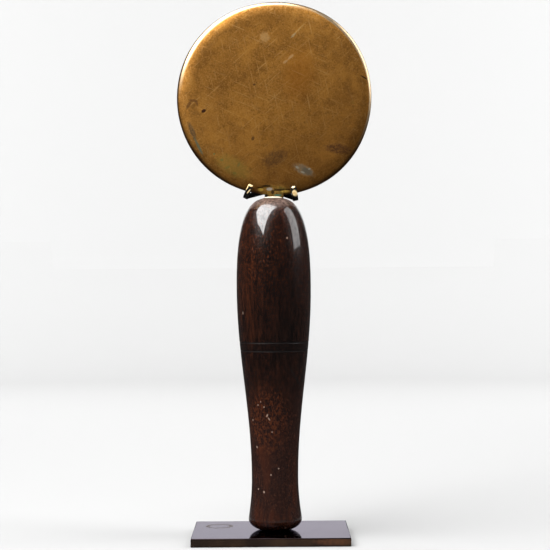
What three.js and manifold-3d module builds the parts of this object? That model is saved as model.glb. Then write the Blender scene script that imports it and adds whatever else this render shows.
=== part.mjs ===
// A bronze hand mirror in a turned hardwood handle, held upright on a metal display stand.
// Millimetres, +Z up. The polished face of the disc looks towards -Y, and the origin is the
// centre of the stand plate's underside.
import * as THREE from 'three';
import { mergeVertices } from 'three/addons/utils/BufferGeometryUtils.js';
import Module from 'manifold-3d';

const wasm = await Module();
wasm.setup();

// ---- driving dimensions ------------------------------------------------------------------

const FIT_GAP = 0.3; // clearance between pieces that sit in or around one another

const PLATE = { width: 92, depth: 70, thickness: 5, chamfer: 0.5 };

// The handle is a club turned on one axis. Heights run up from the plate's top face.
const HANDLE = {
  x: 2.6,
  height: 197.2,
  footFlatRadius: 6,
  footRimRadius: 15.85,
  footRimHeight: 6.8,
  waistRadius: 13.75,
  waistHeight: 31,
  bellyRadius: 22,
  bellyHeight: 143,
  domeHeight: 196.5,
  domeExponents: [2.63, 3.15], // along the axis, across it
  seatRadius: 5.4, // the low flat seat at the very top, under the disc
  grooveHeights: [106.1, 111],
  grooveHalfWidth: 0.4,
  grooveDepth: 0.4,
  segments: 48,
};

// The disc is a shallow casting, nearly round, with a flat tang that drops into the handle.
const DISC = {
  x: 3.85,
  radius: 57.84,
  faceY: -2,
  faceDoming: 0.25,
  backY: 2,
  shoulder: 9, // how far in from the edge the face starts to turn away
  backRounding: 1,
  seatClearance: 0.9, // the disc's edge stands this far above the handle's seat
  segments: 96,
};
// Slow waves that make the outline slightly out of round: share of the radius, lobes, phase.
const OUTLINE_WAVES = [
  { share: 0.0047, lobes: 2, phase: 21.6 },
  { share: 0.0046, lobes: 3, phase: 48.8 },
  { share: 0.0042, lobes: 4, phase: 46.3 },
];

const TANG = { width: 10, tipWidth: 8, thickness: 2.6, length: 34, rootOverlap: 4 };

// One brazed bracket: a post behind the handle, two arms behind the disc, a finger on each.
const POST = {
  radius: 2.5,
  y: 26,
  bendStart: 188,
  bendRadius: 18,
  endY: 3,
  sides: 16,
  steps: 10,
};
const ARM = { radius: 1.55, y: 4.3, sides: 12 };
// angle: degrees from straight down, about the disc's centre; armRise: how far above the
// post's crown line its arm starts, so that the right one clears the handle's seat
const FINGERS = [
  { angle: -16.2, width: 2.9, armRise: 0 },
  { angle: 11.4, width: 3.3, armRise: 0.9 },
];
const FINGER = { reach: 4.7, strip: 1.8, under: 2 };

// ---- small helpers -----------------------------------------------------------------------

const radians = THREE.MathUtils.degToRad;

// How far the outline lies from the disc's centre at an angle seen from the front, in
// radians counter-clockwise from +X, as a share of the nominal radius.
function outlineShare(angle) {
  let share = 1;
  for (const wave of OUTLINE_WAVES) {
    share += wave.share * Math.cos(wave.lobes * (angle - radians(wave.phase)));
  }
  return share;
}

function toSolid(geometry) {
  const bare = geometry.index ? geometry.toNonIndexed() : geometry.clone();
  bare.deleteAttribute('normal');
  bare.deleteAttribute('uv');
  const merged = mergeVertices(bare, 1e-4);
  // a turned profile leaves collapsed triangles on its axis, which are dropped here
  const triVerts = [];
  const index = merged.index.array;
  for (let i = 0; i < index.length; i += 3) {
    const [a, b, c] = [index[i], index[i + 1], index[i + 2]];
    if (a !== b && b !== c && c !== a) triVerts.push(a, b, c);
  }
  return new wasm.Manifold(new wasm.Mesh({
    numProp: 3,
    vertProperties: new Float32Array(merged.attributes.position.array),
    triVerts: new Uint32Array(triVerts),
  }));
}

function toGeometry(solid) {
  const mesh = solid.getMesh();
  const geometry = new THREE.BufferGeometry();
  geometry.setAttribute('position', new THREE.BufferAttribute(mesh.vertProperties, 3));
  geometry.setIndex(new THREE.BufferAttribute(mesh.triVerts, 1));
  return geometry;
}

// A shape drawn in the X-Z plane, given thickness along Y and centred on y = 0.
function extrudeAlongY(shape, thickness) {
  const geometry = new THREE.ExtrudeGeometry(shape, { depth: thickness, bevelEnabled: false });
  geometry.translate(0, 0, -thickness / 2);
  geometry.rotateX(Math.PI / 2);
  return geometry;
}

function rodBetween(start, end, radius, sides) {
  const along = new THREE.Vector3().subVectors(end, start);
  const geometry = new THREE.CylinderGeometry(radius, radius, along.length(), sides);
  const turn = new THREE.Quaternion();
  turn.setFromUnitVectors(new THREE.Vector3(0, 1, 0), along.clone().normalize());
  geometry.applyQuaternion(turn);
  const middle = new THREE.Vector3().addVectors(start, end).multiplyScalar(0.5);
  geometry.translate(middle.x, middle.y, middle.z);
  return geometry;
}

// ---- stand plate -------------------------------------------------------------------------

function makeStandPlate() {
  const halfWidth = PLATE.width / 2 - PLATE.chamfer;
  const halfDepth = PLATE.depth / 2 - PLATE.chamfer;
  const outline = new THREE.Shape([
    new THREE.Vector2(-halfWidth, -halfDepth),
    new THREE.Vector2(halfWidth, -halfDepth),
    new THREE.Vector2(halfWidth, halfDepth),
    new THREE.Vector2(-halfWidth, halfDepth),
  ]);
  const geometry = new THREE.ExtrudeGeometry(outline, {
    depth: PLATE.thickness - 2 * PLATE.chamfer,
    bevelThickness: PLATE.chamfer,
    bevelSize: PLATE.chamfer,
    bevelSegments: 1,
  });
  geometry.translate(0, 0, PLATE.chamfer);
  return geometry;
}

// ---- handle ------------------------------------------------------------------------------

const handleTopZ = PLATE.thickness + HANDLE.height;

// Radius of the stem between the waist and the belly: half a cosine wave.
function stemRadius(height) {
  const share = (height - HANDLE.waistHeight) / (HANDLE.bellyHeight - HANDLE.waistHeight);
  const rise = (1 - Math.cos(Math.PI * share)) / 2;
  return HANDLE.waistRadius + (HANDLE.bellyRadius - HANDLE.waistRadius) * rise;
}

// Radius of the domed end above the belly: a superellipse.
function domeRadius(height) {
  const share = (height - HANDLE.bellyHeight) / (HANDLE.domeHeight - HANDLE.bellyHeight);
  const [along, across] = HANDLE.domeExponents;
  return HANDLE.bellyRadius * Math.pow(1 - Math.pow(share, along), 1 / across);
}

function footProfile() {
  const points = [];
  const undersideSteps = 6;
  for (let i = 0; i <= undersideSteps; i += 1) {
    const turn = (i / undersideSteps) * (Math.PI / 2);
    const spread = HANDLE.footRimRadius - HANDLE.footFlatRadius;
    points.push([
      HANDLE.footFlatRadius + spread * Math.sin(turn),
      HANDLE.footRimHeight * (1 - Math.cos(turn)),
    ]);
  }
  const flareSteps = 6;
  for (let i = 1; i <= flareSteps; i += 1) {
    const share = 1 - i / flareSteps;
    const flare = HANDLE.footRimRadius - HANDLE.waistRadius;
    points.push([
      HANDLE.waistRadius + flare * share * share,
      HANDLE.waistHeight - (HANDLE.waistHeight - HANDLE.footRimHeight) * share,
    ]);
  }
  return points;
}

function stemProfile() {
  const heights = [];
  const steps = 12;
  for (let i = 1; i <= steps; i += 1) {
    const share = i / steps;
    heights.push(HANDLE.waistHeight + (HANDLE.bellyHeight - HANDLE.waistHeight) * share);
  }
  const clearOfGrooves = (height) => HANDLE.grooveHeights.every(
    (groove) => Math.abs(height - groove) > 2 * HANDLE.grooveHalfWidth,
  );
  const points = heights.filter(clearOfGrooves).map((height) => [stemRadius(height), height]);
  for (const groove of HANDLE.grooveHeights) {
    const low = groove - HANDLE.grooveHalfWidth;
    const high = groove + HANDLE.grooveHalfWidth;
    points.push([stemRadius(low), low]);
    points.push([stemRadius(groove) - HANDLE.grooveDepth, groove]);
    points.push([stemRadius(high), high]);
  }
  return points.sort((a, b) => a[1] - b[1]);
}

function domeProfile() {
  const points = [];
  const steps = 16;
  const rise = HANDLE.domeHeight - HANDLE.bellyHeight;
  for (let i = 1; i <= steps; i += 1) {
    const crowded = 1 - Math.pow(1 - i / steps, 2); // closer together near the top
    const height = HANDLE.bellyHeight + rise * crowded;
    const radius = domeRadius(height);
    if (radius > HANDLE.seatRadius + 0.4) points.push([radius, height]);
  }
  points.push([HANDLE.seatRadius, HANDLE.domeHeight - 0.1]);
  points.push([HANDLE.seatRadius, HANDLE.height]);
  return points;
}

function makeHandle() {
  const profile = [[0, 0], ...footProfile(), ...stemProfile(), ...domeProfile(), [0, HANDLE.height]];
  const points = profile.map(([radius, height]) => new THREE.Vector2(radius, height));
  const turned = new THREE.LatheGeometry(points, HANDLE.segments);
  turned.rotateX(Math.PI / 2);
  turned.translate(HANDLE.x, 0, PLATE.thickness);

  const slotDepth = TANG.length + FIT_GAP;
  const slot = new THREE.BoxGeometry(TANG.width + 2 * FIT_GAP, TANG.thickness + 2 * FIT_GAP, 2 * slotDepth);
  slot.translate(DISC.x, 0, handleTopZ);
  return toGeometry(toSolid(turned).subtract(toSolid(slot)));
}

// ---- mirror disc with its tang -----------------------------------------------------------

const discLowestShare = outlineShare(radians(-90));
const discCentreZ = handleTopZ + DISC.seatClearance + DISC.radius * discLowestShare;

function discProfile() {
  const points = [[0, DISC.faceY - DISC.faceDoming]];
  const shoulderStart = DISC.radius - DISC.shoulder;
  const domeSteps = 3;
  for (let i = 1; i <= domeSteps; i += 1) {
    const share = i / domeSteps;
    points.push([shoulderStart * share, DISC.faceY - DISC.faceDoming * (1 - share * share)]);
  }
  // the face turns away into the edge along a quarter of an ellipse
  const shoulderSteps = 8;
  const edgeY = DISC.backY - DISC.backRounding;
  for (let i = 1; i <= shoulderSteps; i += 1) {
    const turn = (i / shoulderSteps) * (Math.PI / 2);
    const inward = DISC.shoulder * (1 - Math.sin(turn));
    points.push([DISC.radius - inward, edgeY + (DISC.faceY - edgeY) * Math.cos(turn)]);
  }
  const backSteps = 3;
  for (let i = 1; i <= backSteps; i += 1) {
    const turn = (i / backSteps) * (Math.PI / 2);
    points.push([
      DISC.radius - DISC.backRounding * (1 - Math.cos(turn)),
      edgeY + DISC.backRounding * Math.sin(turn),
    ]);
  }
  points.push([0, DISC.backY]);
  return points;
}

function makeMirrorDisc() {
  const points = discProfile().map(([radius, y]) => new THREE.Vector2(radius, y));
  const disc = new THREE.LatheGeometry(points, DISC.segments);
  const position = disc.attributes.position;
  for (let i = 0; i < position.count; i += 1) {
    const share = outlineShare(Math.atan2(position.getZ(i), position.getX(i)));
    position.setX(i, position.getX(i) * share);
    position.setZ(i, position.getZ(i) * share);
  }
  disc.translate(DISC.x, 0, discCentreZ);

  const root = discCentreZ - DISC.radius * discLowestShare + TANG.rootOverlap;
  const tip = handleTopZ - TANG.length;
  const tangShape = new THREE.Shape([
    new THREE.Vector2(-TANG.tipWidth / 2, tip),
    new THREE.Vector2(TANG.tipWidth / 2, tip),
    new THREE.Vector2(TANG.width / 2, root),
    new THREE.Vector2(-TANG.width / 2, root),
  ]);
  const tang = extrudeAlongY(tangShape, TANG.thickness);
  tang.translate(DISC.x, 0, 0);
  return toGeometry(toSolid(disc).add(toSolid(tang)));
}

// ---- stand bracket -----------------------------------------------------------------------

// The finger's side view: along the disc's radius (outwards) and along Y (backwards). It runs
// forwards under the edge of the disc and turns up in front of the face.
function fingerSideView(edgeRadius) {
  const inner = edgeRadius + FIT_GAP;
  const outer = inner + FINGER.under;
  const tip = edgeRadius - FINGER.reach;
  const innerY = DISC.faceY - FIT_GAP;
  const frontY = innerY - FINGER.strip;
  const heelY = ARM.y + ARM.radius;
  return new THREE.Shape([
    new THREE.Vector2(tip + 0.3, innerY),
    new THREE.Vector2(inner, innerY),
    new THREE.Vector2(inner, heelY),
    new THREE.Vector2(outer + 2, heelY),
    new THREE.Vector2(outer + 1.6, innerY + 2),
    new THREE.Vector2(outer, frontY + 0.6),
    new THREE.Vector2(outer - 1, frontY),
    new THREE.Vector2(tip + 0.8, frontY),
    new THREE.Vector2(tip, frontY + 0.7),
  ]);
}

function makeFinger(finger) {
  const direction = radians(-90 + finger.angle);
  const edgeRadius = DISC.radius * outlineShare(direction);
  const geometry = new THREE.ExtrudeGeometry(fingerSideView(edgeRadius), {
    depth: finger.width,
    bevelEnabled: false,
  });
  geometry.translate(0, 0, -finger.width / 2);
  // lay the drawing's first axis along the radius and its second along Y
  const radius = new THREE.Vector3(Math.cos(direction), 0, Math.sin(direction));
  const back = new THREE.Vector3(0, 1, 0);
  const across = new THREE.Vector3().crossVectors(radius, back);
  geometry.applyMatrix4(new THREE.Matrix4().makeBasis(radius, back, across));
  geometry.translate(DISC.x, 0, discCentreZ);
  return geometry;
}

function makeArm(finger) {
  const direction = radians(-90 + finger.angle);
  const edgeRadius = DISC.radius * outlineShare(direction);
  const rootRadius = edgeRadius + FIT_GAP + FINGER.under + 0.4;
  const crownZ = POST.bendStart + POST.bendRadius;
  const start = new THREE.Vector3(0, ARM.y, crownZ + finger.armRise);
  const end = new THREE.Vector3(
    DISC.x + rootRadius * Math.cos(direction),
    ARM.y,
    discCentreZ + rootRadius * Math.sin(direction),
  );
  return rodBetween(start, end, ARM.radius, ARM.sides);
}

// The post's centre line: straight up behind the handle, a quarter turn forwards over the handle's
// dome, then straight on to the arms. Each straight stretch takes one of the path's equal steps and
// the bend takes the others.
class PostPath extends THREE.Curve {
  getUtoTmapping(share) {
    return share;
  }

  getPoint(share, target = new THREE.Vector3()) {
    const bendSteps = POST.steps - 2;
    const step = share * POST.steps;
    const crownZ = POST.bendStart + POST.bendRadius;
    const bendEndY = POST.y - POST.bendRadius;
    if (step <= 1) {
      const climb = (POST.bendStart - PLATE.thickness) * step;
      return target.set(0, POST.y, PLATE.thickness + climb);
    }
    if (step >= 1 + bendSteps) {
      const forward = (bendEndY - POST.endY) * (step - 1 - bendSteps);
      return target.set(0, bendEndY - forward, crownZ);
    }
    const turn = ((step - 1) / bendSteps) * (Math.PI / 2);
    const y = bendEndY + POST.bendRadius * Math.cos(turn);
    return target.set(0, y, POST.bendStart + POST.bendRadius * Math.sin(turn));
  }
}

function makePost() {
  const section = new THREE.Shape();
  section.absarc(0, 0, POST.radius, 0, 2 * Math.PI);
  return new THREE.ExtrudeGeometry(section, {
    steps: POST.steps,
    curveSegments: POST.sides,
    extrudePath: new PostPath(),
  });
}

function makeStandBracket() {
  const pieces = [makePost(), ...FINGERS.map(makeArm), ...FINGERS.map(makeFinger)];
  const solids = pieces.map(toSolid);
  return toGeometry(solids.reduce((joined, solid) => joined.add(solid)));
}

// ---- the object --------------------------------------------------------------------------

function namedMesh(name, geometry, colour, roughness, metalness) {
  const material = new THREE.MeshStandardMaterial({ color: colour, roughness, metalness });
  const mesh = new THREE.Mesh(geometry, material);
  mesh.name = name;
  return mesh;
}

const mirror = new THREE.Group();
mirror.add(namedMesh('stand_plate', makeStandPlate(), 0x33271f, 0.25, 0.8));
mirror.add(namedMesh('stand_bracket', makeStandBracket(), 0x14110f, 0.45, 0.6));
mirror.add(namedMesh('handle', makeHandle(), 0x2c170e, 0.3, 0));
mirror.add(namedMesh('mirror_disc', makeMirrorDisc(), 0x8a6430, 0.4, 0.9));

export default mirror;
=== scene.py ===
import math

import bpy
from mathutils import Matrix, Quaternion, Vector, noise


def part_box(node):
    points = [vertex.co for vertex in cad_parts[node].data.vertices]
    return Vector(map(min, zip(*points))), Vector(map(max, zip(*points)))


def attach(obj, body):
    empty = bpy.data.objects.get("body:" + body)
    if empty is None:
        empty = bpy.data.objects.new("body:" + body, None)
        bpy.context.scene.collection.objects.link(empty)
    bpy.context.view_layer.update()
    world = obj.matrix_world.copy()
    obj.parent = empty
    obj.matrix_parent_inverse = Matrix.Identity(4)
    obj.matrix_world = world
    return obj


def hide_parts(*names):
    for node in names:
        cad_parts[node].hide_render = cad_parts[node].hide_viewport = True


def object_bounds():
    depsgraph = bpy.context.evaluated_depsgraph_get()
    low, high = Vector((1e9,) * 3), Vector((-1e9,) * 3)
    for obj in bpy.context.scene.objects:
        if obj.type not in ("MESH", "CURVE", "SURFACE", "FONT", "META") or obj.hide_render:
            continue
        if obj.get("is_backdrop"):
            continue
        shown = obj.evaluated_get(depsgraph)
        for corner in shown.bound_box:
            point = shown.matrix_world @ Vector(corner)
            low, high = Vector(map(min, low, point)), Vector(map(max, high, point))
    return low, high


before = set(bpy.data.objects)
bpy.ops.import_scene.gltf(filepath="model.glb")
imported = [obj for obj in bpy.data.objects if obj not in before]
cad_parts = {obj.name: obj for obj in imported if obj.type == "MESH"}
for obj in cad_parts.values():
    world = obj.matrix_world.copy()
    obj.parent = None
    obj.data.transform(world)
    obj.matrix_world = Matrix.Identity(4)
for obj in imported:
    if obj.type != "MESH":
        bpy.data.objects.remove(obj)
cad_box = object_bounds()

# ---- camera -------------------------------------------------------------------------------
# It stands about a metre in front of the polished face, level with the upper half of the
# handle, and looks almost straight along +Y with a slight lean to one side.
camera_place = Vector((0.0034, -0.966, 0.1498))
camera_aim = Vector((0.0034, 0.0, 0.1557))
camera_lean = math.radians(-0.4)

camera = bpy.data.objects.new("camera", bpy.data.cameras.new("camera"))
camera.data.sensor_width = 36
camera.data.lens = 106.6
camera.location = camera_place
camera.rotation_mode = "QUATERNION"
camera.rotation_quaternion = (
    (camera_aim - camera_place).to_track_quat("-Z", "Y")
    @ Quaternion((0, 0, 1), camera_lean)
)
bpy.context.scene.collection.objects.link(camera)
bpy.context.scene.camera = camera

# ---- stand plate --------------------------------------------------------------------------
# A rectangle sawn from 5 mm bronze plate, its edges eased with a file, patinated almost black
# and then waxed and buffed to a low polish.
MM = 0.001
plate_low, plate_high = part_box("stand_plate")
plate_eased_edge = 0.55 * MM
orange_patch_centre = (plate_high.x - 10 * MM, plate_low.y, 3 * MM)
orange_patch_size = (10 * MM, 1.5 * MM, 1.8 * MM)
ring_stain_centre = (-31 * MM, 14 * MM, plate_high.z)


class Tone:
    """One output of a material's nodes. Arithmetic on it adds the nodes that work it out."""

    def __init__(self, tree, output=None):
        self.tree = tree
        self.output = output

    def node(self, kind, settings, inputs, output=0):
        """Adds a node of a type, with its settings, then the values or links of its sockets."""
        made = self.tree.nodes.new("ShaderNode" + kind)
        for name, value in settings.items():
            setattr(made, name, value)
        for name, value in inputs.items():
            if isinstance(value, Tone):
                self.tree.links.new(value.output, made.inputs[name])
            else:
                made.inputs[name].default_value = value
        return Tone(self.tree, made.outputs[output])

    def math(self, operation, first, second=0.0):
        return self.node("Math", {"operation": operation}, {0: first, 1: second})

    def __add__(self, other):
        return self.math("ADD", self, other)

    __radd__ = __add__

    def __sub__(self, other):
        return self.math("SUBTRACT", self, other)

    def __rsub__(self, other):
        return self.math("SUBTRACT", other, self)

    def __mul__(self, other):
        return self.math("MULTIPLY", self, other)

    __rmul__ = __mul__

    def __truediv__(self, other):
        return self.math("DIVIDE", self, other)

    def at_most(self, other):
        return self.math("MINIMUM", self, other)

    def at_least(self, other):
        return self.math("MAXIMUM", self, other)

    def between(self, low, high, to_low=0.0, to_high=1.0):
        """Rises smoothly from to_low to to_high as this value goes from low to high."""
        return self.node(
            "MapRange",
            {"interpolation_type": "SMOOTHSTEP"},
            {"Value": self, 1: low, 2: high, 3: to_low, 4: to_high},
        )

    def noise(self, scale, detail, roughness, distortion=0.0):
        """A cloudy pattern around 0.5 over this place, with blotches about 1 / scale across."""
        return self.node(
            "TexNoise",
            {},
            {
                "Vector": self,
                "Scale": scale,
                "Detail": detail,
                "Roughness": roughness,
                "Distortion": distortion,
            },
        )

    def placed(self, centre=(0, 0, 0), turn=(0, 0, 0), size=(1, 1, 1)):
        """This place seen from a centre, in a frame turned in degrees and measured in sizes."""
        return self.node(
            "Mapping",
            {"vector_type": "TEXTURE"},
            {
                "Vector": self,
                "Location": tuple(centre),
                "Rotation": tuple(math.radians(angle) for angle in turn),
                "Scale": tuple(size),
            },
        )

    def mark(self, centre, turn, size, ragged, softness):
        """1 inside a ragged oval of half widths size about a centre, and 0 outside it."""
        raggedness = self.noise(1.3 / max(min(size), 0.4 * MM), 5, 0.7) - 0.5
        distance = self.placed(centre, turn, size).length() + raggedness * ragged
        return distance.between(1 - softness, 1 + softness, 1.0, 0.0)

    def axis(self, name):
        """One coordinate of this place."""
        return self.node("SeparateXYZ", {}, {0: self}, name)

    def length(self):
        return self.node("VectorMath", {"operation": "LENGTH"}, {0: self}, "Value")

    def over(self, base, colour):
        """Lays a colour over a base colour where this mask is 1."""
        inputs = {0: self, 6: base, 7: colour}
        return self.node("Mix", {"data_type": "RGBA"}, inputs, 2)


def colour(red, green, blue):
    """A colour given as it looks on a screen, 0 to 255, for a socket."""
    def linear(value):
        share = value / 255
        return share / 12.92 if share <= 0.04045 else ((share + 0.055) / 1.055) ** 2.4

    return (linear(red), linear(green), linear(blue), 1.0)


def new_finish(name):
    """A material, its main shader, and the place on the piece that its patterns start from."""
    finish = bpy.data.materials.new(name)
    finish.use_nodes = True
    shader = finish.node_tree.nodes["Principled BSDF"]
    place = Tone(finish.node_tree).node("TexCoord", {}, {}, "Object")
    return finish, shader, place


def give_finish(piece, finish):
    piece.data.materials.clear()
    piece.data.materials.append(finish)


def feed(shader, socket, tone):
    tone.tree.links.new(tone.output, shader.inputs[socket])


def feed_bump(shader, height, depth, strength):
    bump = height.node(
        "Bump", {}, {"Height": height, "Distance": depth, "Strength": strength}
    )
    feed(shader, "Normal", bump)


def clear_selection():
    if bpy.context.object and bpy.context.object.mode != "OBJECT":
        bpy.ops.object.mode_set(mode="OBJECT")
    bpy.ops.object.select_all(action="DESELECT")


def start_edit(piece, pick="VERT"):
    clear_selection()
    piece.select_set(True)
    bpy.context.view_layer.objects.active = piece
    bpy.ops.object.mode_set(mode="EDIT")
    bpy.ops.mesh.select_mode(type=pick)


def apply_modifier(piece, kind, **settings):
    if piece.mode != "OBJECT":
        bpy.ops.object.mode_set(mode="OBJECT")
    bpy.context.view_layer.objects.active = piece
    modifier = piece.modifiers.new(kind.lower(), kind)
    for name, value in settings.items():
        setattr(modifier, name, value)
    bpy.ops.object.modifier_apply(modifier=modifier.name)


def finish_piece(piece, name, smooth_angle=35):
    """Names a piece, applies its place and scale, and shades its soft turns smooth."""
    clear_selection()
    piece.name = piece.data.name = name
    piece.select_set(True)
    bpy.context.view_layer.objects.active = piece
    bpy.ops.object.transform_apply(location=True, rotation=True, scale=True)
    bpy.ops.object.shade_smooth_by_angle(angle=math.radians(smooth_angle))


clear_selection()
bpy.ops.mesh.primitive_cube_add(
    size=1, location=(plate_low + plate_high) / 2, scale=plate_high - plate_low
)
plate = bpy.context.object
finish_piece(plate, "dark_bronze_plate")

# its scale is applied by now, so all its edges are eased alike
start_edit(plate, "EDGE")
bpy.ops.mesh.select_all(action="SELECT")
bpy.ops.mesh.bevel(offset=plate_eased_edge, segments=4, affect="EDGES")
finish_piece(plate, "dark_bronze_plate")

plate_finish, shader, place = new_finish("waxed_dark_bronze")
shader.inputs["Specular Tint"].default_value = (0.87, 0.83, 0.95, 1)
smoky = place.noise(30, 5, 0.6)
fine = place.noise(420, 4, 0.65)
rubbed = place.placed(turn=(0, 0, 12), size=(6, 1, 1)).noise(700, 3, 0.6)
base = smoky.between(0.35, 0.68).over(colour(34, 28, 30), colour(50, 42, 44))

# the edges are browner than the top and rubbed orange at the right, and a painted contact
# shadow darkens them along the foot
top_face = place.axis("Z").between(plate_high.z - 0.4 * MM, plate_high.z - 0.1 * MM)
edge_brown = smoky.between(0.4, 0.6).over(colour(42, 33, 28), colour(62, 47, 36))
base = top_face.over(edge_brown, base)
orange_patch = place.mark(orange_patch_centre, (0, 0, 0), orange_patch_size, 0.9, 0.5)
base = (orange_patch * (0.4 + 0.4 * fine.between(0.35, 0.6))).over(base, colour(94, 62, 44))
# painted contact shadow along the foot of the edges
painted_foot_shadow = place.axis("Z").between(0, 1.3 * MM, 1.0, 0.0)
base = (painted_foot_shadow * 0.8).over(base, colour(16, 12, 11))

# a faint dull ring stains the top near its left back corner
ring = place.placed(ring_stain_centre).length()
ring = ring.between(5.6 * MM, 6.6 * MM) * ring.between(7.6 * MM, 8.8 * MM, 1.0, 0.0)
stain = ring * fine.between(0.3, 0.54)
base = stain.over(base, colour(66, 54, 42))
feed(shader, "Base Color", base)
feed(shader, "Metallic", 1.0 - 0.7 * stain)
dulled = 0.05 * rubbed + 0.07 * smoky.between(0.45, 0.75) + 0.35 * stain
feed(shader, "Roughness", 0.05 + dulled)
feed_bump(shader, fine, 0.02 * MM, 0.25)
give_finish(plate, plate_finish)
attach(plate, "root")
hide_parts("stand_plate")

# ---- handle -------------------------------------------------------------------------------
# Turned from one billet of dark hardwood, rubbed with wax and polished by use. It has a
# rounded foot with a crisp rim, a waist, a belly with two cut lines and a domed end.
handle_low, handle_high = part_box("handle")
handle_axis = (handle_low + handle_high) / 2
handle_height = handle_high.z - handle_low.z

foot_flat = 6.0 * MM
foot_rim = 15.85 * MM
foot_rim_height = 6.8 * MM
waist = 13.75 * MM
waist_height = 31 * MM
belly = (handle_high.x - handle_low.x) / 2
belly_height = 143 * MM
dome_height = 196.5 * MM
dome_along, dome_across = 2.63, 3.15  # how squarely the dome turns over
seat = 5.4 * MM
cut_lines = (106.1 * MM, 111 * MM)
cut_line_depth = 0.14 * MM
cut_line_width = 0.36 * MM


def foot_outline(steps=14):
    for step in range(steps + 1):
        turn = step / steps * math.pi / 2
        out = foot_flat + (foot_rim - foot_flat) * math.sin(turn)
        yield out, foot_rim_height * (1 - math.cos(turn))
    for step in range(1, steps + 1):
        share = 1 - step / steps
        out = waist + (foot_rim - waist) * share**2
        yield out, waist_height - (waist_height - foot_rim_height) * share


def stem_radius(height):
    share = (height - waist_height) / (belly_height - waist_height)
    radius = waist + (belly - waist) * (1 - math.cos(math.pi * share)) / 2
    for line in cut_lines:
        away = abs(height - line) / cut_line_width
        radius -= cut_line_depth * max(0, 1 - away * away)
    return radius


def stem_outline(step_height=1.1 * MM):
    heights = []
    steps = round((belly_height - waist_height) / step_height)
    for step in range(1, steps + 1):
        heights.append(waist_height + (belly_height - waist_height) * step / steps)
    for line in cut_lines:
        heights = [h for h in heights if abs(h - line) > 1.2 * cut_line_width]
        heights += [line + cut_line_width * share / 3 for share in range(-3, 4)]
    for height in sorted(heights):
        yield stem_radius(height), height


def dome_outline(steps=44):
    for step in range(1, steps + 1):
        share = 1 - (1 - step / steps) ** 2
        height = belly_height + (dome_height - belly_height) * share
        radius = belly * (1 - share**dome_along) ** (1 / dome_across)
        if radius > seat + 0.3 * MM:
            yield radius, height
    yield seat + 0.1 * MM, dome_height - 0.05 * MM
    for step in range(1, 7):
        turn = step / 6 * math.pi / 2
        rise = handle_height - dome_height + 0.05 * MM
        yield seat * math.cos(turn * 0.97), dome_height + rise * math.sin(turn) - 0.05 * MM


def draw_line(points):
    """A new piece that is one line drawn from point to point, all selected in edit mode."""
    clear_selection()
    bpy.ops.mesh.primitive_plane_add(size=1, location=(0, 0, 0))
    piece = bpy.context.object
    start_edit(piece)
    bpy.ops.mesh.select_all(action="SELECT")
    bpy.ops.mesh.merge(type="CENTER")
    bpy.ops.transform.translate(value=points[0])
    for before, after in zip(points, points[1:]):
        bpy.ops.mesh.extrude_vertices_move(
            TRANSFORM_OT_translate={"value": after - before}
        )
    bpy.ops.mesh.select_all(action="SELECT")
    return piece


def turn_on_lathe(outline, centre, axis, steps):
    """Spins an outline round an axis, and closes the seam and poles of what it sweeps."""
    piece = draw_line([Vector(point) for point in outline])
    bpy.ops.mesh.spin(steps=steps, angle=2 * math.pi, center=centre, axis=axis)
    bpy.ops.mesh.select_all(action="SELECT")
    bpy.ops.mesh.remove_doubles(threshold=0.004 * MM)
    bpy.ops.mesh.normals_make_consistent(inside=False)
    bpy.ops.object.mode_set(mode="OBJECT")
    return piece


outline = [(0, 0), *foot_outline(), *stem_outline(), *dome_outline(), (0, handle_height)]
handle = turn_on_lathe(
    [(handle_axis.x + out, handle_axis.y, handle_low.z + up) for out, up in outline],
    (handle_axis.x, handle_axis.y, 0),
    (0, 0, 1),
    192,
)

# the slot for the disc's tang is sawn and chiselled down into the end grain
slot_x = 3.85 * MM
slot_width = 10.6 * MM
slot_thickness = 3.2 * MM
slot_depth = 34.3 * MM
clear_selection()
bpy.ops.mesh.primitive_cube_add(
    size=1,
    location=(slot_x, 0, handle_high.z),
    scale=(slot_width, slot_thickness, 2 * slot_depth),
)
slot = bpy.context.object
apply_modifier(handle, "BOOLEAN", operation="DIFFERENCE", object=slot, solver="EXACT")
bpy.data.objects.remove(slot)
finish_piece(handle, "hardwood_handle")

# small chips, as: degrees round from the front, height, half width, half height, lean
handle_chips = (
    (23, 172.1 * MM, 0.6 * MM, 0.75 * MM, 10),
    (-16, 68.6 * MM, 0.6 * MM, 1.3 * MM, 30),
    (-12, 66.6 * MM, 0.55 * MM, 1.4 * MM, -35),
    (-36, 74.7 * MM, 0.5 * MM, 0.6 * MM, 0),
    (-22, 73.6 * MM, 0.6 * MM, 0.6 * MM, 0),
    (-29, 76.6 * MM, 0.45 * MM, 0.5 * MM, 0),
    (-55, 65.6 * MM, 0.6 * MM, 0.7 * MM, 0),
    (-47, 49.8 * MM, 0.6 * MM, 1.0 * MM, -30),
    (-6, 59.0 * MM, 0.45 * MM, 0.6 * MM, 0),
    (9, 37.5 * MM, 0.6 * MM, 0.5 * MM, 0),
    (-10, 33.8 * MM, 0.6 * MM, 0.7 * MM, 0),
    (-45, 25.2 * MM, 0.7 * MM, 0.6 * MM, 20),
    (-28, 23.7 * MM, 0.8 * MM, 0.9 * MM, -30),
    (26, 2.6 * MM, 0.9 * MM, 0.8 * MM, 0),
    (-57, 128.5 * MM, 0.5 * MM, 1.2 * MM, 0),
    (150, 120.0 * MM, 0.7 * MM, 1.0 * MM, 20),
    (-140, 74.0 * MM, 0.8 * MM, 0.7 * MM, -15),
)


def handle_radius(height):
    """The radius of the turned outline at a height above the foot."""
    for (out, up), (next_out, next_up) in zip(outline, outline[1:]):
        if up <= height <= next_up and next_up > up:
            return out + (next_out - out) * (height - up) / (next_up - up)
    return 0.0


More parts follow.
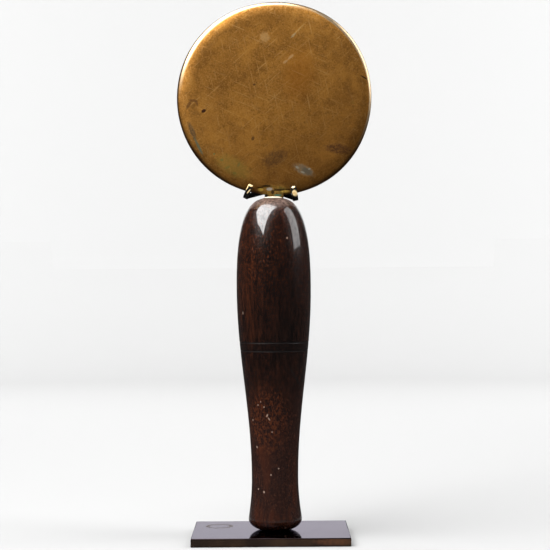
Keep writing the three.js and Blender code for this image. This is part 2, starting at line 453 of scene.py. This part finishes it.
def handle_spot(degrees, height):
    turn = math.radians(degrees)
    out = handle_radius(height)
    return (
        handle_axis.x + out * math.sin(turn),
        -out * math.cos(turn),
        handle_low.z + height,
    )


def strongest(masks):
    """The strongest of several masks at every place."""
    strongest_yet, *others = masks
    for mask in others:
        strongest_yet = strongest_yet.at_least(mask)
    return strongest_yet


handle_finish, shader, place = new_finish("waxed_dark_hardwood")
shader.inputs["Specular IOR Level"].default_value = 0.2
shader.inputs["Coat Roughness"].default_value = 0.06
shader.inputs["Coat IOR"].default_value = 1.62
height = place.axis("Z") - handle_low.z
streaks = place.placed(handle_axis, size=(1, 1, 8)).noise(640, 6, 0.72, 0.4)
figure = place.placed(handle_axis, size=(1, 1, 5)).noise(75, 4, 0.6, 0.5)
mottle = place.placed(handle_axis, size=(1, 1, 1.6)).noise(760, 6, 0.8, 0.8)
pores = place.placed(handle_axis, size=(1, 1, 2.5)).noise(1700, 3, 0.7)

# red-brown figure, with streaks along the grain, mottling and open pores
upper = height.between(120 * MM, 165 * MM)
base = figure.between(0.36, 0.66).over(colour(12, 5, 4), colour(26, 11, 6))
base = (streaks.between(0.48, 0.68) * 0.6).over(base, colour(50, 23, 11))
base = (mottle.between(0.5, 0.62) * (0.3 + 0.4 * upper)).over(base, colour(60, 28, 13))
base = (pores.between(0.54, 0.64) * (0.15 + 0.5 * upper)).over(base, colour(92, 45, 20))
base = (streaks.between(0.36, 0.48, 1.0, 0.0) * 0.7).over(base, colour(10, 5, 5))
base = (mottle.between(0.38, 0.48, 1.0, 0.0) * 0.7).over(base, colour(9, 5, 5))
base = (pores.between(0.36, 0.48, 1.0, 0.0) * 0.6).over(base, colour(8, 4, 4))

# the upper belly is warmer at its left side, and painted shade makes it almost black at its
# right
left_side = place.placed(
    handle_spot(-58, 150 * MM), (0, 0, 0), (12 * MM, 16 * MM, 55 * MM)
).length()
left_side = left_side.between(0.5, 1.3, 1.0, 0.0)
base = (left_side * streaks.between(0.44, 0.64) * 0.35).over(base, colour(66, 30, 12))
# painted shade over the right side of the upper belly
painted_shade_right = place.placed(
    handle_spot(26, 140 * MM), (0, 0, 0), (13 * MM, 20 * MM, 46 * MM)
).length()
painted_shade_right = (painted_shade_right + 0.6 * figure).between(0.6, 1.6, 1.0, 0.0)
base = (painted_shade_right * 0.55).over(base, colour(6, 4, 4))

# the lower half has lost its gloss, most of all in a patch above the waist
worn_zone = place.placed(
    handle_spot(-18, 66 * MM), (0, 0, 0), (14 * MM, 20 * MM, 24 * MM)
).length()
worn_zone = (worn_zone + 0.5 * figure).between(0.7, 1.4, 1.0, 0.0)
lower = height.between(55 * MM, 100 * MM, 1.0, 0.0)
base = (lower * 0.55).over(base, colour(42, 26, 22))
base = (lower * figure.between(0.5, 0.6) * 0.3).over(base, colour(72, 33, 16))
base = (lower * mottle.between(0.53, 0.65) * 0.45).over(base, colour(80, 48, 34))
base = (worn_zone * mottle.between(0.46, 0.62) * 0.55).over(base, colour(88, 43, 19))

# the two cut lines and the band between them are darker
cut_band = height.between(cut_lines[0], cut_lines[0] + 0.5 * MM) * height.between(
    cut_lines[1] - 0.5 * MM, cut_lines[1], 1.0, 0.0
)
base = (cut_band * 0.45).over(base, colour(14, 8, 7))
from_lines = [
    height.math("ABSOLUTE", (height - line) / cut_line_width) for line in cut_lines
]
cut = strongest([away.between(0.8, 1.6, 1.0, 0.0) for away in from_lines])
base = (cut * 0.8).over(base, colour(9, 5, 5))

# the crown is rubbed pale and cracked round its seat, which is near white
crown_wear = (height + 8 * MM * figure).between(193 * MM, 197.5 * MM)
base = (crown_wear * mottle.between(0.38, 0.54)).over(base, colour(122, 102, 94))
cracks = strongest(
    [pores.between(0.4, 0.5, 1.0, 0.0), streaks.between(0.42, 0.5, 1.0, 0.0)]
)
base = (crown_wear * cracks * 0.9).over(base, colour(26, 16, 14))
pale_seat = height.between(dome_height - 0.3 * MM, dome_height + 0.1 * MM)
pale_seat_tone = mottle.between(0.3, 0.7).over(
    colour(214, 196, 168), colour(255, 246, 226)
)
base = pale_seat.over(base, pale_seat_tone)
foot_glow = height.between(foot_rim_height - 1.2 * MM, foot_rim_height, 1.0, 0.0)
base = (foot_glow * mottle.between(0.5, 0.62) * 0.7).over(base, colour(84, 42, 22))

chips = [
    place.mark(
        handle_spot(degrees, up),
        (0, lean, degrees),
        (0.6 * half_width, 1.5 * MM, 0.7 * half_height),
        1.1,
        0.4,
    )
    for degrees, up, half_width, half_height, lean in handle_chips
]
bare_wood = strongest(chips)
base = (bare_wood * 0.75).over(base, colour(158, 132, 116))
crack = place.mark(
    handle_spot(44, 90 * MM), (0, -42, 44), (0.35 * MM, 5 * MM, 7 * MM), 0.9, 0.3
)
base = crack.over(base, colour(7, 4, 4))
feed(shader, "Base Color", base)
dull = (bare_wood + crown_wear * 0.6 + pale_seat + cut).at_most(1.0)
rubbed = 0.55 + 0.3 * streaks.between(0.4, 0.54) + 0.15 * pores.between(0.4, 0.5)
feed(shader, "Coat Weight", (1.0 - dull) * (1.0 - 0.8 * lower) * rubbed)
feed(shader, "Roughness", 0.17 + 0.08 * streaks + 0.4 * dull)
relief = streaks * 0.6 + mottle * 0.5 + pores * 0.3 - bare_wood * 0.6 - crack
feed_bump(shader, relief, 0.28 * MM, 0.8)
give_finish(handle, handle_finish)
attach(handle, "root")
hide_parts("handle")

# ---- mirror disc --------------------------------------------------------------------------
# Cast in bronze as one shallow disc with a flat tang, hammered a little out of round, its
# face ground and polished, and long since tarnished to a golden brown.
disc_centre = Vector((slot_x, 0, 0))
disc_radius = 57.82 * MM
disc_face = -2.0 * MM
disc_back = 2.0 * MM
disc_doming = 0.25 * MM
disc_shoulder = 9 * MM
disc_back_rounding = 1 * MM
seat_clearance = 0.9 * MM
# slow waves out of round: share of the radius, lobes, the angle of the first lobe
outline_waves = ((0.0047, 2, 21.6), (0.0046, 3, 48.8), (0.0042, 4, 46.3))
hammer_depth = 0.05 * MM
hammer_broad = 19 * MM
hammer_fine = 6 * MM


def outline_share(angle):
    waves = (
        share * math.cos(lobes * (angle - math.radians(phase)))
        for share, lobes, phase in outline_waves
    )
    return 1 + sum(waves)


disc_centre.z = handle_high.z + seat_clearance + disc_radius * outline_share(-math.pi / 2)


def disc_outline():
    flat = disc_radius - disc_shoulder
    for step in range(41):
        share = step / 40
        yield flat * share, disc_face - disc_doming * (1 - share * share)
    edge = disc_back - disc_back_rounding
    for step in range(1, 31):
        turn = step / 30 * math.pi / 2
        inward = disc_shoulder * (1 - math.sin(turn))
        yield disc_radius - inward, edge + (disc_face - edge) * math.cos(turn)
    for step in range(1, 9):
        turn = step / 8 * math.pi / 2
        inward = disc_back_rounding * (1 - math.cos(turn))
        yield disc_radius - inward, edge + disc_back_rounding * math.sin(turn)
    for step in range(1, 31):
        yield (disc_radius - disc_back_rounding) * (1 - step / 30), disc_back


disc = turn_on_lathe(
    [(disc_centre.x + out, y, disc_centre.z) for out, y in disc_outline()],
    disc_centre,
    (0, 1, 0),
    360,
)
for vertex in disc.data.vertices:
    out = vertex.co - disc_centre
    share = outline_share(math.atan2(out.z, out.x))
    vertex.co.x = disc_centre.x + out.x * share
    vertex.co.z = disc_centre.z + out.z * share
    rim_fade = max(0, 1 - out.length / disc_radius) ** 0.5
    sway = noise.noise(out / hammer_broad) + 0.35 * noise.noise(out / hammer_fine)
    inward = 1 if out.y < 0 else -1
    vertex.co.y += hammer_depth * rim_fade * (1 + sway) * inward
finish_piece(disc, "bronze_disc")

# the tang is a flat tongue, drawn down at the tip, that drops into the handle's slot
tang_width = 10 * MM
tang_tip_width = 8 * MM
tang_thickness = 2.6 * MM
tang_length = 34 * MM
tang_root = disc_centre.z - disc_radius * outline_share(-math.pi / 2) + 4 * MM
clear_selection()
tang_tip = handle_high.z - tang_length
bpy.ops.mesh.primitive_cube_add(
    size=1,
    location=(disc_centre.x, 0, (tang_root + tang_tip) / 2),
    scale=(tang_tip_width, tang_thickness, tang_root - tang_tip),
)
tang = bpy.context.object
finish_piece(tang, "tang")
start_edit(tang, "FACE")
bpy.ops.mesh.select_all(action="DESELECT")
bpy.ops.object.mode_set(mode="OBJECT")
for face in tang.data.polygons:
    face.select = face.normal.z > 0.9
bpy.ops.object.mode_set(mode="EDIT")
bpy.ops.transform.resize(value=(tang_width / tang_tip_width, 1, 1))
bpy.ops.mesh.select_all(action="SELECT")
bpy.ops.mesh.bevel(offset=0.3 * MM, segments=2, affect="EDGES")
clear_selection()
apply_modifier(disc, "BOOLEAN", operation="UNION", object=tang, solver="EXACT")
bpy.data.objects.remove(tang)
finish_piece(disc, "bronze_disc")

disc_finish, shader, place = new_finish("tarnished_bronze")
shader.inputs["Coat Roughness"].default_value = 0.3
shader.inputs["Specular Tint"].default_value = (0.72, 0.55, 0.38, 1)
place = place.placed(disc_centre)
cloud = place.noise(26, 6, 0.6)
blotches = place.noise(80, 6, 0.68, 0.4)
mottle = place.noise(190, 6, 0.72)
grit = place.noise(1000, 4, 0.7)
base = cloud.between(0.32, 0.68).over(colour(139, 94, 40), colour(174, 121, 52))
base = (blotches.between(0.46, 0.6) * 0.4).over(base, colour(116, 76, 30))
base = (mottle.between(0.48, 0.64) * 0.5).over(base, colour(110, 72, 30))
base = (grit.between(0.5, 0.66) * 0.55).over(base, colour(184, 134, 70))
base = (grit.between(0.34, 0.48, 1.0, 0.0) * 0.5).over(base, colour(94, 61, 24))

# fine scratches in three directions, from rubbing the face with cloth and sand
rubbed_ways = [place.placed(turn=(0, turn, 0), size=(22, 1, 1)) for turn in (24, -41, 78)]
scratches = strongest([way.noise(1500, 2, 0.5).between(0.6, 0.74) for way in rubbed_ways])
base = (scratches * 0.5).over(base, colour(192, 148, 88))

# painted shade: the face is darker towards the foot and the right, and lightest at the upper
# left
slant = place.axis("X") * 0.6 - place.axis("Z")
face_painted_shade = (slant + cloud * 30 * MM).between(-5 * MM, 80 * MM)
base = (face_painted_shade * 0.45).over(base, colour(96, 58, 20))
gold = place.mark((14.5 * MM, 0, 14 * MM), (0, 12, 0), (9 * MM, 6 * MM, 15 * MM), 0.7, 0.6)
base = (gold * 0.45).over(base, colour(150, 92, 26))

# stains: place across and up, half sizes, lean, colour, strength
disc_stains = (
    ((-5.4, 36.1), (2.8, 2.8), 0, (150, 122, 80), 0.7),
    ((14.4, 40.2), (0.4, 5.8), 44, (168, 138, 84), 0.5),
    ((11.4, 37.0), (0.7, 1.8), 44, (140, 138, 112), 0.4),
    ((9.8, 24.2), (0.8, 2.2), 48, (160, 132, 92), 0.55),
    ((6.6, 21.4), (0.7, 1.6), 50, (160, 132, 92), 0.55),
    ((-42.1, -7.5), (1.5, 1.0), -25, (48, 22, 8), 1.0),
    ((-50.9, -3.8), (0.9, 2.6), 28, (84, 52, 22), 0.8),
    ((-48.3, -1.3), (2.6, 0.8), 10, (84, 52, 22), 0.8),
    ((-46.2, -2.6), (0.8, 1.8), -20, (88, 56, 24), 0.8),
    ((-49.0, -19.5), (1.5, 5.5), -22, (66, 54, 38), 0.9),
    ((-45.2, -28.5), (0.8, 5.6), -26, (72, 86, 70), 0.8),
    ((-31.5, -36.5), (0.9, 0.7), 0, (70, 88, 50), 0.7),
    ((-28.0, -41.0), (1.5, 0.7), -30, (74, 86, 44), 0.6),
    ((-24.0, -44.5), (1.1, 0.8), 15, (70, 82, 40), 0.6),
    ((-21.5, -39.5), (0.6, 1.4), 30, (82, 90, 58), 0.6),
    ((-36.0, -33.0), (0.6, 0.5), 0, (66, 96, 60), 0.7),
    ((0.0, -35.8), (4.6, 7.6), 62, (60, 38, 18), 0.85),
    ((16.9, -42.8), (6.2, 2.8), 24, (98, 94, 80), 0.8),
    ((18.8, -43.6), (3.0, 1.7), 24, (74, 72, 62), 0.7),
    ((13.2, -41.3), (1.1, 0.6), 30, (140, 136, 120), 0.6),
    ((16.4, -44.2), (1.2, 0.5), 20, (140, 136, 120), 0.6),
    ((20.4, -42.2), (0.8, 0.5), -10, (140, 136, 120), 0.6),
    ((-25.0, -40.5), (11.0, 5.5), 30, (104, 94, 38), 0.5),
    ((37.7, -30.5), (8.5, 3.0), 8, (60, 34, 16), 0.95),
    ((53.4, 11.7), (2.6, 0.45), 30, (34, 18, 8), 0.95),
    ((46.5, -3.0), (1.2, 1.0), 0, (84, 64, 22), 0.5),
    ((-12.0, 8.0), (0.8, 0.7), 0, (58, 34, 14), 0.8),
    ((-13.0, -24.0), (0.9, 1.3), 20, (58, 34, 14), 0.8),
)
patchy = place.noise(900, 5, 0.8).between(0.36, 0.6)
crust_parts = []
for (across, up), (half_width, half_height), lean, stain_colour, strength in disc_stains:
    stain = place.mark(
        (across * MM, disc_face, up * MM),
        (0, lean, 0),
        (half_width * MM, 2.5 * MM, half_height * MM),
        1.2,
        0.35,
    )
    is_broad = half_width * half_height > 6
    if is_broad:
        stain = stain * (0.55 + 0.45 * patchy)
    base = (stain * strength).over(base, colour(*stain_colour))
    crust_parts.append(stain * strength)
crust = strongest(crust_parts)

# the shoulder's colour is lightened to cream at the upper left, and at the very edge also at
# the right, as a painted highlight; the rim of the lower half is darkened as a painted dark
# reflection
from_centre = place.placed(size=(1, 1000, 1)).length()
shoulder = from_centre.between(disc_radius - 3.3 * MM, disc_radius - 1.0 * MM)
edge = from_centre.between(disc_radius - 2 * MM, disc_radius - 1.2 * MM)
upper_left = (place.axis("Z") - place.axis("X") * 0.6).between(34 * MM, 56 * MM)
low_side = (place.axis("Z") + 6 * MM * cloud).between(-34 * MM, 4 * MM, 1.0, 0.0)
right = place.axis("X").between(8 * MM, 34 * MM)
painted_rim_highlight = (shoulder * upper_left).at_least(edge * right * (1.0 - low_side))
base = (painted_rim_highlight * 0.9).over(base, colour(232, 206, 168))
# painted dark reflection on the rim of the lower half
painted_dark_rim_reflection = from_centre.between(disc_radius - 2.6 * MM, disc_radius - 0.6 * MM) * low_side
base = (painted_dark_rim_reflection * 0.85).over(base, colour(52, 34, 22))
# painted dark reflection along the outermost edge, all round but the right
painted_dark_outline = from_centre.between(disc_radius - 1.1 * MM, disc_radius - 0.5 * MM) * (1.0 - right)
base = (painted_dark_outline * 0.85).over(base, colour(60, 38, 22))

# verdigris and dirt gathered where the disc meets its tang and fingers
verdigris = place.mark(
    (0.5 * MM, disc_face, -55.6 * MM), (0, 0, 0), (9.6 * MM, 6 * MM, 3.8 * MM), 1.2, 0.4
)
lumps = place.noise(420, 4, 0.65, 0.5)
base = (verdigris * 0.6).over(base, colour(128, 100, 42))
base = (verdigris * lumps.between(0.5, 0.6) * 0.9).over(base, colour(88, 76, 30))
base = (verdigris * lumps.between(0.36, 0.44, 1.0, 0.0)).over(base, colour(46, 30, 8))
# lumps of it, and last a black spot of painted shade on the tang in the gap above the seat:
# place across and up, half sizes, colour
crusts = (
    ((-8.6, -54.3), (1.6, 1.0), (204, 168, 76)),
    ((-8.8, -53.0), (1.9, 0.35), (24, 16, 4)),
    ((6.2, -55.4), (2.6, 0.8), (204, 166, 74)),
    ((7.0, -54.2), (2.4, 0.35), (24, 16, 4)),
    ((-5.2, -52.2), (2.8, 0.6), (26, 17, 4)),
    ((-3.4, -54.0), (1.8, 0.9), (158, 150, 140)),
    ((-1.5, -55.8), (1.0, 1.3), (20, 13, 5)),
    ((2.2, -54.6), (3.0, 0.6), (24, 16, 5)),
    ((1.5, -57.6), (2.2, 0.5), (44, 98, 86)),
    ((-5.0, -58.6), (1.4, 1.4), (14, 11, 8)),
)
for (across, up), (half_width, half_height), crust_colour in crusts:
    spot = place.mark(
        (across * MM, disc_face, up * MM),
        (0, 0, 0),
        (half_width * MM, 4 * MM, half_height * MM),
        0.8,
        0.35,
    )
    base = (spot * 0.9).over(base, colour(*crust_colour))
feed(shader, "Base Color", base)
feed(shader, "Roughness", 0.42 + 0.08 * cloud + 0.08 * grit + 0.25 * crust - 0.2 * painted_rim_highlight)
feed(shader, "Metallic", 0.85 + 0.15 * painted_rim_highlight - 0.2 * crust - 0.5 * verdigris)
feed(shader, "Coat Weight", shoulder * upper_left * (1.0 - painted_dark_outline) * 0.3)
relief = mottle * 0.5 + grit * 0.2 - scratches * 0.3 + crust * 0.6 + verdigris * lumps * 4.0
feed_bump(shader, relief, 0.05 * MM, 0.45)
give_finish(disc, disc_finish)
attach(disc, "root")
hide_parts("mirror_disc")

# ---- stand bracket ------------------------------------------------------------------------
# A steel rod behind the handle, bent forward over its dome, with two arms and two hooked finger
# strips brazed on. It is painted black, and the fingers are worn to bare brass, lightened as a
# painted highlight at their tips, edges and bends.
post_radius = 2.5 * MM
post_behind = 26 * MM
post_bend_start = 188 * MM
post_bend_radius = 18 * MM
post_front = 3 * MM
post_crown = post_bend_start + post_bend_radius
arm_radius = 1.55 * MM
arm_behind = 4.3 * MM
fit_gap = 0.3 * MM
strip_thickness = 1.8 * MM
strip_under = 2.0 * MM
strip_eased_edge = 0.3 * MM
# angle from straight down about the disc's centre, lean of the strip, its width and reach
# over the face, and the rise of its arm at the crown
fingers = (
    (-16.2, -9, 2.9 * MM, 4.5 * MM, 0.0),
    (11.4, 0, 3.3 * MM, 4.3 * MM, 0.9 * MM),
)


def start_rod(name, start, along, radius, sides):
    """A round end cap that looks along the rod, selected and ready to be drawn out."""
    clear_selection()
    bpy.ops.mesh.primitive_circle_add(
        vertices=sides,
        radius=radius,
        fill_type="NGON",
        location=start,
        rotation=along.to_track_quat("Z", "Y").to_euler(),
    )
    rod = bpy.context.object
    rod.name = name
    start_edit(rod, "FACE")
    bpy.ops.mesh.select_all(action="SELECT")
    return rod


def draw_out(distance):
    bpy.ops.mesh.extrude_region_move(TRANSFORM_OT_translate={"value": distance})


def close_rod():
    bpy.ops.mesh.select_all(action="SELECT")
    bpy.ops.mesh.normals_make_consistent(inside=False)
    bpy.ops.object.mode_set(mode="OBJECT")


def bend_post():
    post = start_rod("post", (0, post_behind, plate_high.z), Vector((0, 0, 1)), post_radius, 28)
    draw_out((0, 0, post_bend_start - plate_high.z))
    bpy.ops.mesh.spin(
        steps=12,
        angle=-math.pi / 2,
        center=(0, post_behind - post_bend_radius, post_bend_start),
        axis=(1, 0, 0),
    )
    draw_out((0, post_front - post_behind + post_bend_radius, 0))
    close_rod()
    return post


def finger_frame(angle, lean=0):
    """The direction of a finger, and the point of the disc's edge that it holds."""
    direction = math.radians(angle - 90)
    outward = Vector((math.cos(direction), 0, math.sin(direction)))
    edge = disc_centre + outward * disc_radius * outline_share(direction)
    leaning = math.radians(angle + lean - 90)
    return Vector((math.cos(leaning), 0, math.sin(leaning))), edge


def make_arm(angle, rise):
    outward, edge = finger_frame(angle)
    start = Vector((0, arm_behind, post_crown + rise))
    end = edge + outward * (fit_gap + strip_under + 0.4 * MM)
    end.y = arm_behind
    arm = start_rod("arm", start, end - start, arm_radius, 20)
    draw_out(end - start)
    close_rod()
    return arm


def make_finger(angle, lean, width, reach):
    """A strip bent into a hook: its side view is drawn, filled, drawn out and filed round."""
    outward, edge = finger_frame(angle, lean)
    inner = fit_gap
    outer = inner + strip_under
    tip = -reach
    inside_y = disc_face - fit_gap
    front_y = inside_y - strip_thickness
    heel_y = arm_behind + arm_radius
    side_view = [
        (tip + 0.3 * MM, inside_y),
        (inner, inside_y),
        (inner, heel_y),
        (outer + 2 * MM, heel_y),
        (outer + 1.6 * MM, inside_y + 2 * MM),
        (outer, front_y + 0.6 * MM),
        (outer - 1 * MM, front_y),
        (tip + 1.5 * MM, front_y),
        (tip, front_y + 0.85 * MM),
    ]
    across = outward.cross(Vector((0, 1, 0)))
    corners = [
        edge + outward * out + Vector((0, y, 0)) - across * width / 2
        for out, y in side_view
    ]
    finger = draw_line(corners)
    bpy.ops.mesh.edge_face_add()
    draw_out(across * width)
    bpy.ops.mesh.select_all(action="SELECT")
    bpy.ops.mesh.normals_make_consistent(inside=False)
    bpy.ops.mesh.bevel(offset=strip_eased_edge, segments=3, affect="EDGES")
    bpy.ops.object.mode_set(mode="OBJECT")
    return finger


bracket = bend_post()
for angle, lean, width, reach, rise in fingers:
    for part in (make_arm(angle, rise), make_finger(angle, lean, width, reach)):
        apply_modifier(bracket, "BOOLEAN", operation="UNION", object=part, solver="EXACT")
        bpy.data.objects.remove(part)
finish_piece(bracket, "black_bracket")

bracket_finish, shader, place = new_finish("black_paint")
shader.inputs["Specular IOR Level"].default_value = 0.2
grain = place.noise(700, 4, 0.6)

# worn bare spots of the left finger, then of the right one, lightened as painted highlights:
# across and along the strip from the disc's edge, half width, half length, lean
worn_spots_and_highlights = (
    ((0.0, -3.9, 1.4, 0.8, 0), (1.25, -1.9, 0.3, 2.0, 6), (-0.4, -0.1, 0.35, 1.6, 14)),
    ((0.0, -3.6, 1.0, 0.6, 0), (-0.2, 0.3, 1.4, 2.0, -14)),
)
bare_spots_and_highlights = []
for (angle, lean, *_), spots in zip(fingers, worn_spots_and_highlights):
    outward, edge = finger_frame(angle, lean)
    across = Vector((0, 1, 0)).cross(outward)
    front = Vector((0, disc_face - fit_gap - strip_thickness, 0))
    for aside, along, half_width, half_length, turn in spots:
        spot = edge + outward * along * MM + across * aside * MM + front
        size = (half_width * MM, 1.3 * MM, half_length * MM)
        worn_spot_and_highlight = place.mark(spot, (0, -angle - lean + turn, 0), size, 0.4, 0.22)
        bare_spots_and_highlights.append(worn_spot_and_highlight)
bare_brass_and_highlight = strongest(bare_spots_and_highlights)
base = grain.between(0.35, 0.7).over(colour(5, 5, 5), colour(15, 13, 12))
# the bare brass is near white and only half metallic, as a painted highlight
brass_and_highlight_colour = grain.between(0.3, 0.7).over(colour(236, 190, 120), colour(255, 232, 180))
feed(shader, "Base Color", bare_brass_and_highlight.over(base, brass_and_highlight_colour))
feed(shader, "Metallic", bare_brass_and_highlight * 0.45)
feed(shader, "Roughness", 0.45 - 0.05 * bare_brass_and_highlight + 0.1 * grain)
feed_bump(shader, grain, 0.05 * MM, 0.3)
give_finish(bracket, bracket_finish)
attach(bracket, "root")
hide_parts("stand_bracket")

# ---- floor and light ----------------------------------------------------------------------
# A pale paper sweep all round. A large softbox hangs at the upper left, a narrow one stands at
# the right under a small fill lamp, and two lamps behind the object whiten the backdrop.
clear_selection()
sweep_radius = 2.4
sweep_turn = 0.8
sweep_height = 3.0
near_floor_radius = 0.13
backdrop_behind = 2.1
sweep_outline = [(0, 0), (near_floor_radius, 0), (sweep_radius - sweep_turn, 0)]
for step in range(1, 17):
    turn = step / 16 * math.pi / 2
    sweep_outline.append(
        (
            sweep_radius - sweep_turn * (1 - math.sin(turn)),
            sweep_turn * (1 - math.cos(turn)),
        )
    )
sweep_outline.append((sweep_radius, sweep_height))
sweep = turn_on_lathe(
    [(out, 0, up) for out, up in sweep_outline], (0, 0, 0), (0, 0, 1), 96
)
finish_piece(sweep, "paper_sweep", 80)
paper, shader, _ = new_finish("pale_paper")
shader.inputs["Base Color"].default_value = (0.35, 0.35, 0.35, 1)
shader.inputs["Roughness"].default_value = 0.9
give_finish(sweep, paper)

# all of the sweep but the backdrop and the floor close by is kept out of the reflections, as
# black cards would keep it out
start_edit(sweep, "FACE")
bpy.ops.mesh.select_all(action="DESELECT")
bpy.ops.object.mode_set(mode="OBJECT")
for face in sweep.data.polygons:
    far = face.center.to_2d().length > near_floor_radius
    face.select = far and face.center.y < backdrop_behind
bpy.ops.object.mode_set(mode="EDIT")
bpy.ops.mesh.separate(type="SELECTED")
bpy.ops.object.mode_set(mode="OBJECT")
camera_side = next(o for o in bpy.context.selected_objects if o is not sweep)
camera_side.name = camera_side.data.name = "paper_sweep_camera_side"
camera_side.visible_glossy = False
sweep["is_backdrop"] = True
camera_side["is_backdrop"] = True


def box_lamp(name, centre, aim, width, height, power, in_reflections):
    lamp = bpy.data.objects.new(name, bpy.data.lights.new(name, "AREA"))
    lamp.data.shape = "RECTANGLE"
    lamp.data.size = width
    lamp.data.size_y = height
    lamp.data.energy = power
    lamp.location = centre
    lamp.rotation_mode = "QUATERNION"
    lamp.rotation_quaternion = (Vector(aim) - Vector(centre)).to_track_quat("-Z", "Y")
    lamp.visible_glossy = in_reflections
    bpy.context.scene.collection.objects.link(lamp)


box_lamp("right_softbox", (1.41, -0.15, 1.05), (0, 0, 0.2), 0.9, 1.35, 13, True)
box_lamp("backdrop_lamp_left", (-1.2, 0.9, 1.2), (0, 2.4, 0.9), 0.8, 0.8, 44, False)
box_lamp("backdrop_lamp_right", (1.2, 0.9, 1.2), (0.1, 2.4, 0.85), 0.8, 0.8, 44, False)
box_lamp("fill_lamp", (0.8, -0.1, 1.3), (0.3, 0, 0), 0.6, 0.6, 10, False)

# the main softbox hangs at the upper left, with its lower left corner folded away
softbox_aim = Vector((0, 0, 0.2))
softbox_toward = Vector((-0.437, -0.378, 0.816)).normalized()
softbox_right = Vector((0.654, -0.756, 0)).normalized()
softbox_up = softbox_toward.cross(softbox_right)
softbox_distance = 1.37
softbox_corners = (
    (-0.50, 0.31),
    (0.475, 0.64),
    (0.29, -0.70),
    (-0.24, -0.49),
    (-0.58, -0.12),
)
corners = [
    softbox_aim
    + softbox_distance * (softbox_toward + softbox_right * right + softbox_up * up)
    for right, up in softbox_corners
]
main_softbox = draw_line(corners)
bpy.ops.mesh.edge_face_add()
bpy.ops.object.mode_set(mode="OBJECT")
main_softbox.name = main_softbox.data.name = "main_softbox"
main_softbox.visible_camera = False
glow, shader, _ = new_finish("softbox_cloth")
shader.inputs["Base Color"].default_value = (0, 0, 0, 1)
shader.inputs["Emission Color"].default_value = (1, 1, 1, 1)
shader.inputs["Emission Strength"].default_value = 11.2
give_finish(main_softbox, glow)
main_softbox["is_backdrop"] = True

world = bpy.data.worlds.new("studio")
world.use_nodes = True
world.node_tree.nodes["Background"].inputs["Color"].default_value = (1, 1, 1, 1)
world.node_tree.nodes["Background"].inputs["Strength"].default_value = 0.04
bpy.context.scene.world = world
bpy.context.scene.view_settings.view_transform = "Standard"

boxes = {"cad": cad_box, "visual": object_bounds()}
{name: [list(corner) for corner in box] for name, box in boxes.items()}
